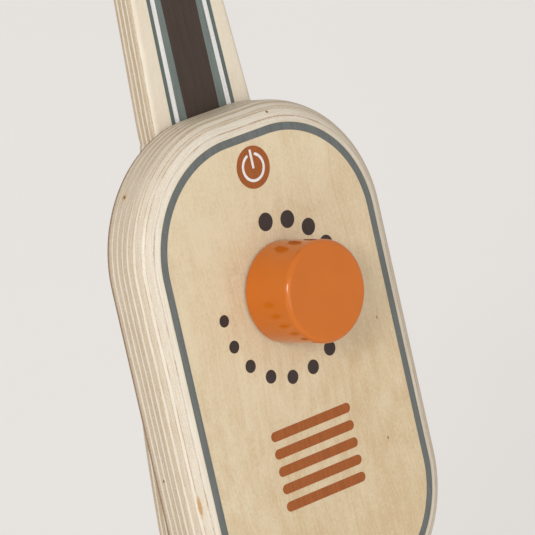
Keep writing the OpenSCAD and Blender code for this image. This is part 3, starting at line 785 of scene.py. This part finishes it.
# Handle plank: one long piece of birch plywood, from the hinge up behind the body block to the grip
# loop. It is sawn to shape with its hand hole, and all its edges are rounded over.
plank_r = 2.5 * MM
plank_plies = 9
foot_half = 60 * MM
loop_half = 46 * MM
loop_v = plank_high.z - loop_half
hole_r = 25 * MM
hole_low = loop_v - 21 * MM
neck_half = 18.5 * MM
flare_gain = loop_half - neck_half
loop_foot = loop_v - 18 * MM
flare_len = 82 * MM
flare_foot = loop_foot - flare_len
station_steps = 10
top_steps = 36
plank_stations = [(foot_half, plank_low.z), (foot_half, 24 * MM), (foot_half, 43 * MM),
                  (52.75 * MM, 141 * MM), (39.4 * MM, 187.5 * MM), (26.05 * MM, 234 * MM),
                  (24.25 * MM, 251 * MM), (neck_half, 357 * MM), (neck_half, flare_foot),
                  (neck_half + flare_gain * 0.12, flare_foot + flare_len * 0.3),
                  (neck_half + flare_gain * 0.72, flare_foot + flare_len * 0.68),
                  (loop_half, loop_foot), (loop_half, loop_v)]
screw_low_half = 32 * MM
screw_low_z = 97 * MM
screw_high_half = 18 * MM
screw_high_z = 217 * MM
screw_spots = [(side * half, z) for side in (-1, 1)
               for half, z in ((screw_low_half, screw_low_z), (screw_high_half, screw_high_z))]
screw_head_r = 4.05 * MM
screw_hole_r = 2.05 * MM
screw_sink = 2.4 * MM


def curve_through(stations):
    """A smooth line through the stations, each pulled towards its neighbours' direction."""
    knots = [Vector(stations[0])] + [Vector(s) for s in stations] + [Vector(stations[-1])]
    line = []
    for a, b, c, d in zip(knots, knots[1:], knots[2:], knots[3:]):
        for k in range(station_steps):
            t = k / station_steps
            line.append((2 * b + (c - a) * t + (2 * a - 5 * b + 4 * c - d) * t ** 2
                         + (3 * b - a - 3 * c + d) * t ** 3) / 2)
    return line


plank_side = curve_through(plank_stations)
for k in range(top_steps + 1):
    turn = k / top_steps * math.pi / 2
    plank_side.append(Vector((loop_half * math.cos(turn), loop_v + loop_half * math.sin(turn))))


def plank_outline(inset):
    """The plank's outline drawn in by inset, up its right side and down its left."""
    line = [plank_side[0] - Vector((inset, 0))]
    for before, point, after in zip(plank_side, plank_side[1:], plank_side[2:]):
        way = (after - before).normalized()
        line.append(point - inset * Vector((way.y, -way.x)))
    line.append(plank_side[-1] - Vector((0, inset)))
    return [(p.x, p.y) for p in line] + [(-p.x, p.y) for p in reversed(line[:-1])]


def hole_outline(inset):
    return arc_loop([(0, hole_low, hole_r + inset, 180, 360), (0, loop_v, hole_r + inset, 0, 180)])


def on_plank(u, v, depth):
    return lean @ Vector((u, plank_low.y + depth, v))


plank_t = plank_high.y - plank_low.y
plank_edge = board_edge(plank_t, plank_r, plank_r)
shape = bmesh.new()


def wall(outline, edge):
    """Lofts an outline down an edge and gives back its first and last ring."""
    rings = [[shape.verts.new(on_plank(u, v, depth)) for u, v in outline(a)] for a, depth in edge]
    loft(shape, rings)
    return rings[0], rings[-1]


def ring_edges(shape, *rings):
    return [shape.edges.get((ring[i - 1], ring[i])) for ring in rings for i in range(len(ring))]


outer_rings = wall(plank_outline, plank_edge)
hole_rings = wall(hole_outline, plank_edge)
fronts = ring_edges(shape, outer_rings[0], hole_rings[0])
backs = ring_edges(shape, outer_rings[1], hole_rings[1])
for x, z in screw_spots:
    sink = wall(lambda r: [(x + u, z + v) for u, v in circle(r)],
                [(screw_hole_r, plank_t - screw_sink), (screw_head_r, plank_t)])
    shape.faces.new(sink[0])
    backs += ring_edges(shape, sink[1])
bmesh.ops.triangle_fill(shape, edges=fronts, use_beauty=True)
bmesh.ops.triangle_fill(shape, edges=backs, use_beauty=True)
plank = made("handle_plank_board", shape)
upright_axes = [lean.to_3x3() @ Vector(axis) for axis in ((1, 0, 0), (0, 1, 0), (0, 0, 1))]
plank_wood = birch_ply("handle_plywood", on_plank(0, 0, 0), upright_axes, plank_t, plank_plies,
                       (228, 218, 200), (216, 203, 180), tanning=0.74)
keep(plank, "upright", "birch_plywood", plank_wood, "handle_plank")

# Stripes on the handle: a brown centre stripe between bands of grey, white and thin grey, screen
# printed on the front of the neck. They draw in with the neck and run down behind the body block.
stripe_foot = 234 * MM
stripe_taper_top = 357 * MM
stripe_top = 410 * MM
stripe_level = 284 * MM
stripe_gap = 0.04 * MM
stripe_lines = [(8.1 * MM, 0.0), (11.07 * MM, 0.0185), (13.08 * MM, 0.0215), (14.82 * MM, 0.023)]
stripe_inks = [("brown_stripe", (66, 54, 47)), ("grey_stripe", (112, 122, 118)),
               ("white_stripe", (238, 235, 231)), ("thin_grey_stripe", (96, 106, 102))]


def stripe_reach(line, rise):
    at, spread = line
    return at + spread * (stripe_level - min(rise, stripe_taper_top))


def stripe_band(name, finish, first, last):
    """A band between two lines, each a reach from the middle that may cross to the other side."""
    rises = [stripe_foot, stripe_taper_top, stripe_top]
    right = [(last(rise), rise) for rise in rises]
    left = [(first(rise), rise) for rise in reversed(rises)]
    band = shaped(name, lambda a: right + left, [(0, -ink_t), (0, ink_t)], on_plank)
    keep(band, "upright", "birch_plywood", finish)


brown = stripe_lines[0]
stripe_band("brown_stripe", ink("brown_stripe_ink", stripe_inks[0][1]),
            lambda rise: -stripe_reach(brown, rise), lambda rise: stripe_reach(brown, rise))
for near, far, (name, colour) in zip(stripe_lines, stripe_lines[1:], stripe_inks[1:]):
    finish = ink(name + "_ink", colour)
    for side, word in both_sides:
        stripe_band(word + "_" + name, finish,
                    lambda rise: side * (stripe_reach(near, rise) + stripe_gap),
                    lambda rise: side * stripe_reach(far, rise))

# Body screws: four countersunk steel screws, driven from behind through the plank into the block,
# each with a cross recess.
screw_face_drop = 0.15 * MM
recess_half = 2.1 * MM
recess_w = 0.45 * MM
recess_depth = 1.1 * MM
recess_taper = 0.6
screw_play = 0.1 * MM

head = bmesh.new()
cross = [(recess_w, recess_w), (recess_w, recess_half), (-recess_w, recess_half),
         (-recess_w, recess_w), (-recess_half, recess_w), (-recess_half, -recess_w),
         (-recess_w, -recess_w), (-recess_w, -recess_half), (recess_w, -recess_half),
         (recess_w, -recess_w), (recess_half, -recess_w), (recess_half, recess_w)]
rim = [head.verts.new((u, v, 0)) for u, v in circle(screw_head_r - screw_play)]
low_rim = [head.verts.new((u, v, -screw_sink)) for u, v in circle(screw_hole_r - screw_play)]
lip = [head.verts.new((u, v, 0)) for u, v in cross]
bed = [head.verts.new((u * recess_taper, v * recess_taper, -recess_depth)) for u, v in cross]
loft(head, (rim, low_rim))
loft(head, (lip, bed))
head.faces.new(low_rim)
head.faces.new(bed)
bmesh.ops.triangle_fill(head, edges=ring_edges(head, rim, lip), use_beauty=True)
screw = made("one_screw", head)


def placed(shape, given):
    """The shape, moved to the tree's Place and turned by its Turn."""
    return shape.node("GeometryNodeTransform", {}, {"Geometry": shape, "Translation": given["Place"],
                                                    "Rotation": given["Turn"]})


sizes = {"Screw": screw, "Count": len(screw_spots), "Low_half": screw_low_half, "Low": screw_low_z,
         "High_half": screw_high_half, "High": screw_high_z, "Steel": zinc_steel,
         "Place": on_plank(0, 0, plank_t - screw_face_drop),
         "Turn": Vector((-math.pi / 2 - recline, 0, 0))}
tree, given, which = set_tree("screws_in_plank", sizes)
on_right = which.math("MODULO", which, 2)
is_high = which.math("FLOOR", which / 2)
half = given["Low_half"] + is_high * (given["High_half"] - given["Low_half"])
up = given["Low"] + is_high * (given["High"] - given["Low"])
spot = which.xyz((2 * on_right - 1) * half, 0 - up)
one = which.node("GeometryNodeObjectInfo", {}, {0: given["Screw"]}, "Geometry")
set_in = placed(copies(given["Count"], spot, one), given)
screws = set_out("plank_screws", tree, set_in, given["Steel"], sizes)
bpy.data.objects.remove(screw)
keep(screws, "upright", "steel", zinc_steel, "body_screws")

# Body block: the cleaner's body, a thick birch plywood block with big round corners and a deep
# round-over on its front edge, which cuts through the plies. It is screwed to the plank from behind.
block_low, block_high = leaned_box("body_block")
block_t = block_high.y - block_low.y
block_corner = 51 * MM
block_front_r = 10.5 * MM
block_back_r = 1.5 * MM
block_plies = 15
block_round_steps = 14
# The block's face darkens towards its right and bottom, and its right edge darkens with it as painted
# shade.
block_gradient_and_shade = (0.003, 0, -0.003)
fine_step = 2.5
block_mid = (block_low.z + block_high.z) / 2
# Depth of the darkened back arris, partly painted shade where the block meets the plank.
block_arris_shade = 2.6
knot_brown, plug_tan, smoke_tan = (112, 70, 40), (188, 148, 102), (190, 158, 118)
block_marks = [((-49.7, 15.6, 81.8), 1.6, 2.4, smoke_tan), ((-49.7, 15.6, 81.8), 0.8, 0.8, knot_brown),
               ((-61.2, 15.8, -23.5), 0.7, 0.7, knot_brown), ((14.1, 2.3, 96.4), 0.8, 0.8, knot_brown),
               ((-57.8, 2.7, -34), 1.1, 5.5, plug_tan), ((42.5, 0, 8.5), 0.4, 0.8, knot_brown),
               ((35, 0, -36.5), 0.4, 0.9, knot_brown)]


def on_block(u, v, depth):
    return lean @ Vector((u, block_low.y + depth, v))


block_arcs = plate_corners((-block_high.x, block_low.z), block_high.xz, [block_corner] * 4)
block_outline = follow(block_arcs, fine_step)
block_edge = board_edge(block_t, block_front_r, block_back_r, block_round_steps)
block = shaped("body_block_board", block_outline, block_edge, on_block)
block_wood = birch_ply("body_plywood", on_block(0, block_mid, 0), upright_axes, block_t, block_plies,
                       gradient_and_shade=block_gradient_and_shade, arris_shade=block_arris_shade, marks=block_marks)
keep(block, "upright", "birch_plywood", block_wood, "body_block")

# Prints on the body block: a grey border line, an orange power sign, a ring of growing dots round the
# dial and five vent bars, all screen printed on the front face.
print_z = 172 * MM
border_inset = 8.45 * MM
sign_rise = 50.5 * MM
sign_r = 8 * MM
sign_ring_r = 5.0 * MM
sign_line = 1.05 * MM
sign_gap = 24
sign_bar_top = 6.3 * MM
sign_orange, sign_white, dot_brown = (158, 87, 39), (240, 236, 231), (60, 49, 46)
dot_ring_r = 29.5 * MM
dot_count = 14
first_dot_r = 2.3 * MM
last_dot_r = 3.45 * MM
dot_sides = 48
vent_count = 5
vent_drop = 48.1 * MM
vent_pitch = 6.75 * MM
vent_half = 18.2 * MM
vent_r = 1.9 * MM
vent_end_sides = 40

border = shaped("body_border_line", block_outline,
                border_rings(border_inset, border_w, block_front_r), on_block, True)
keep(border, "upright", "birch_plywood", grey_ink)


def on_face(u, v, depth):
    """A place on the block's front face, from the middle of the ring of dots."""
    return on_block(u, print_z + v, depth)


def printed(name, arcs, finish, layer):
    """A flat print on the front face; a higher layer lies over a lower one."""
    mark = shaped(name, follow(arcs, fine_step), [(0, -layer * ink_t), (0, ink_t)], on_face)
    keep(mark, "upright", "birch_plywood", finish)


orange_ink = ink("orange_sign_ink", sign_orange)
white_ink = ink("white_sign_ink", sign_white)
brown_ink = ink("brown_dot_ink", dot_brown)
printed("power_sign_disc", [(0, sign_rise, sign_r, 0, 360)], orange_ink, 1)
first, last = 90 + sign_gap, 450 - sign_gap
ends = [(sign_ring_r * math.cos(math.radians(a)), sign_rise + sign_ring_r * math.sin(math.radians(a)))
        for a in (first, last)]
printed("power_sign_ring", [(0, sign_rise, sign_ring_r + sign_line / 2, first, last),
                            (*ends[1], sign_line / 2, last, last + 180),
                            (0, sign_rise, sign_ring_r - sign_line / 2, last, first),
                            (*ends[0], sign_line / 2, first + 180, first + 360)], white_ink, 2)
printed("power_sign_bar", [(0, sign_rise, sign_line / 2, 180, 360),
                           (0, sign_rise + sign_bar_top, sign_line / 2, 0, 180)], white_ink, 2)

face_turn = Vector((math.pi / 2 - recline, 0, 0))
sizes = {"Count": dot_count, "Ring": dot_ring_r, "First_angle": math.pi, "Last_angle": 2.5 * math.pi,
         "First_size": first_dot_r, "Last_size": last_dot_r, "Thickness": 2 * ink_t,
         "Place": on_face(0, 0, 0), "Turn": face_turn, "Ink": brown_ink}
tree, given, which = set_tree("dots_round_dial", sizes)
share = which / (given["Count"] - 1)
angle = given["First_angle"] + share * (given["Last_angle"] - given["First_angle"])
size = given["First_size"] + share * (given["Last_size"] - given["First_size"])
spot = which.xyz(given["Ring"] * angle.math("COSINE", angle),
                 given["Ring"] * angle.math("SINE", angle))
disc = which.node("GeometryNodeMeshCylinder", {},
                  {"Vertices": dot_sides, "Radius": 1.0, "Depth": 1.0})
scale = which.xyz(size, size, given["Thickness"])
spread = placed(copies(given["Count"], spot, disc, Scale=scale), given)
dots = set_out("dial_dots", tree, spread, given["Ink"], sizes)
keep(dots, "upright", "birch_plywood", brown_ink)

sizes = {"Count": vent_count, "Drop": vent_drop, "Pitch": vent_pitch, "Half_length": vent_half,
         "Radius": vent_r, "Thickness": 2 * ink_t, "Place": on_face(0, 0, 0), "Turn": face_turn,
         "Ink": orange_ink}
tree, given, which = set_tree("vent_bars", sizes)
disc = which.node("GeometryNodeMeshCylinder", {},
                  {"Vertices": vent_end_sides, "Radius": given["Radius"], "Depth": given["Thickness"]})
ends = which.node("GeometryNodeJoinGeometry", {}, {})
for side in (-1, 1):
    shift = which.xyz(side * given["Half_length"])
    end = which.node("GeometryNodeTransform", {}, {"Geometry": disc, "Translation": shift})
    tree.links.new(end.socket, ends.socket.node.inputs[0])
bar = which.node("GeometryNodeConvexHull", {}, {0: ends})
spot = which.xyz(0.0, 0 - given["Drop"] - which * given["Pitch"])
row = placed(copies(given["Count"], spot, bar), given)
bars = set_out("vent_bars", tree, row, given["Ink"], sizes)
keep(bars, "upright", "birch_plywood", orange_ink)

# Dial knob: a turned wooden knob in gloss orange paint, with a soft rounded front edge. It is pressed
# on a beech spindle and turns on a thin felt washer.
dial = lean.inverted() @ Vector(joints["dial_turn"]["pos_m"])
knob_low, knob_high = leaned_box("knob")
knob_r = knob_high.x - dial.x
knob_t = knob_high.y - knob_low.y
knob_edge_r = 2 * MM
knob_foot_ease = 0.8 * MM
knob_round_steps = 14
felt_bore = 5.3 * MM
felt_ease = 0.15 * MM


def on_dial(front):
    """Places a piece that turns with the dial or lies round its axis, depth running back from front."""
    return lambda u, v, depth: lean @ Vector((dial.x + u, front + depth, dial.z + v))


knob_line = edge_line(knob_r * core_share, knob_r, knob_t, knob_edge_r, knob_foot_ease,
                      knob_round_steps)
knob = shaped("painted_knob", circle, knob_line, on_dial(knob_low.y))
keep(knob, "dial", "orange_paint", orange, "knob")

felt_low, felt_high = leaned_box("knob_felt_washer")
felt_t = felt_high.y - felt_low.y
felt_r = felt_high.x - dial.x
felt_line = edge_line(felt_bore, felt_r, felt_t, felt_ease, felt_ease, 3, 0.03 * MM)
knob_felt = shaped("knob_washer_felt", circle, felt_line, on_dial(felt_low.y), True)
keep(knob_felt, "upright", "grey_felt", grey_felt, "knob_felt_washer")

# Click works: inside the block a notched nylon wheel on the spindle runs past a nylon leaf, which
# gives the dial its clicks. A steel screw and washer hold the spindle.


def nylon(name):
    """Natural nylon: milky white, faintly mottled and slightly shiny."""
    finish, shader, place, _ = new_finish(name)
    cloud = place.grain(260, 3)
    dress(shader, {"Base Color": cloud.mix(paint(226, 224, 214), paint(240, 238, 230)),
                   "Roughness": 0.35 + cloud * 0.2})
    return finish


natural_nylon = nylon("natural_nylon")
refinish("knob_spindle", wheel_beech)
for node in ("click_wheel", "click_leaf"):
    refinish(node, natural_nylon)
for node in ("leaf_screws", "spindle_washer", "spindle_screw"):
    refinish(node, zinc_steel)

# Studio: a plain pale floor that takes the object's shadow and fades into an even backdrop further off,
# one large soft window light from the left front, a broad fill beside the camera, a narrow strip for
# the glints on gloss paint, and a weaker light all round.
floor_half = 12.0
floor_pale = (238, 235, 232)
sky_pale = (233, 230, 227)
sky_strength = 0.73
near_pale = (252, 249, 246)
far_pale = (219, 214, 209)
high_pale = (231, 228, 225)
high_rise = 0.05
near_share = 0.45
fade_from = 0.7
fade_to = 4.0
window_size = (1.0, 1.0)
window_power = 67.0
window_from = Vector((-3.2, -1.9, 2.3))
fill_size = (3.2, 3.2)
fill_power = 45.0
fill_from = Vector((-1.8, -4.0, 1.8))
strip_size = (0.14, 1.4)
strip_power = 6.4
strip_from = Vector((-3.5, -1.5, 0.95))
lamp_aim = Vector((0, 0, 0.2))


def shows_backdrop(tone):
    """1 for the rays that show the backdrop: from the camera, off gloss and through glass."""
    path = tone.node("ShaderNodeLightPath", {}, {}).socket.node
    camera, gloss, glass = [Tone(tone.tree, path.outputs[key])
                            for key in ("Is Camera Ray", "Is Glossy Ray", "Is Transmission Ray")]
    return camera + gloss + glass


floor_shape = bmesh.new()
floor_corners = [(-1, -1), (1, -1), (1, 1), (-1, 1)]
floor_shape.faces.new([floor_shape.verts.new((x * floor_half, y * floor_half, 0))
                       for x, y in floor_corners])
floor = made("studio_floor", floor_shape)
floor_finish, shader, place, _ = new_finish("pale_studio_floor")
mottle = place.grain(6, 3)
pale = paint(*floor_pale)
dress(shader, {"Base Color": mottle.mix(pale, [part * 0.97 for part in pale[:3]] + [1.0]),
               "Roughness": 0.9, "Specular IOR Level": 0})
# For the camera the floor partly glows, brighter near the object than further off: a painted pool of
# light round the object.
far = place.vector("LENGTH", place, out="Value").rise(fade_from, fade_to)
glow = place.node("ShaderNodeEmission", {}, {"Color": far.mix(paint(*near_pale), paint(*far_pale)),
                                             "Strength": 1.0})
lit = Tone(place.tree, shader.outputs[0])
share = shows_backdrop(place) * (near_share + (1 - near_share) * far)
shown = place.node("ShaderNodeMixShader", {}, {0: share, 1: lit, 2: glow})
place.tree.links.new(shown.socket, place.tree.nodes["Material Output"].inputs["Surface"])
floor.data.materials.append(floor_finish)

world = bpy.data.worlds.new("studio_sky")
bpy.context.scene.world = world
world.use_nodes = True
sky = Tone(world.node_tree, world.node_tree.nodes["Background"].outputs[0])
dress(sky.socket.node, {"Color": paint(*sky_pale), "Strength": sky_strength})
ray = sky.node("ShaderNodeTexCoord", {}, {}, "Generated")
high = ray.split()[2].rise(-high_rise, high_rise)
backdrop = sky.node("ShaderNodeBackground", {},
                    {"Color": high.mix(paint(*far_pale), paint(*high_pale)), "Strength": 1.0})
shown = sky.node("ShaderNodeMixShader", {}, {0: shows_backdrop(sky), 1: sky, 2: backdrop})
world.node_tree.links.new(shown.socket, world.node_tree.nodes["World Output"].inputs["Surface"])


def lamp(name, spot, size, power):
    light = bpy.data.lights.new(name, "AREA")
    light.shape = "RECTANGLE"
    light.size, light.size_y = size
    light.energy = power
    stand = bpy.data.objects.new(name, light)
    stand.location = spot
    stand.rotation_euler = (lamp_aim - spot).to_track_quat("-Z", "Y").to_euler()
    bpy.context.scene.collection.objects.link(stand)


lamp("window_light", window_from, window_size, window_power)
lamp("fill_light", fill_from, fill_size, fill_power)
lamp("strip_light", strip_from, strip_size, strip_power)

# Camera: a long lens, level, a little above the body block and to its left, aimed beside the knob.
camera_local = Vector((-1.3623, -1.69265, 0.5796))
camera_lens = 397.9
aim_right = -5.68 * MM
aim_up = 11.44 * MM

camera = bpy.data.objects.new("camera", bpy.data.cameras.new("camera"))
camera.location = lean @ camera_local
camera.data.lens = camera_lens
camera.data.sensor_width = 36
camera.data.clip_end = 100
look = on_face(0, 0, 0) - camera.location
facing = look.to_track_quat("-Z", "Y").to_matrix()
aim = look + aim_right * facing.col[0] + aim_up * facing.col[1]
camera.rotation_euler = aim.to_track_quat("-Z", "Y").to_euler()
bpy.context.scene.collection.objects.link(camera)
bpy.context.scene.camera = camera
bpy.context.scene.view_settings.view_transform = "Standard"
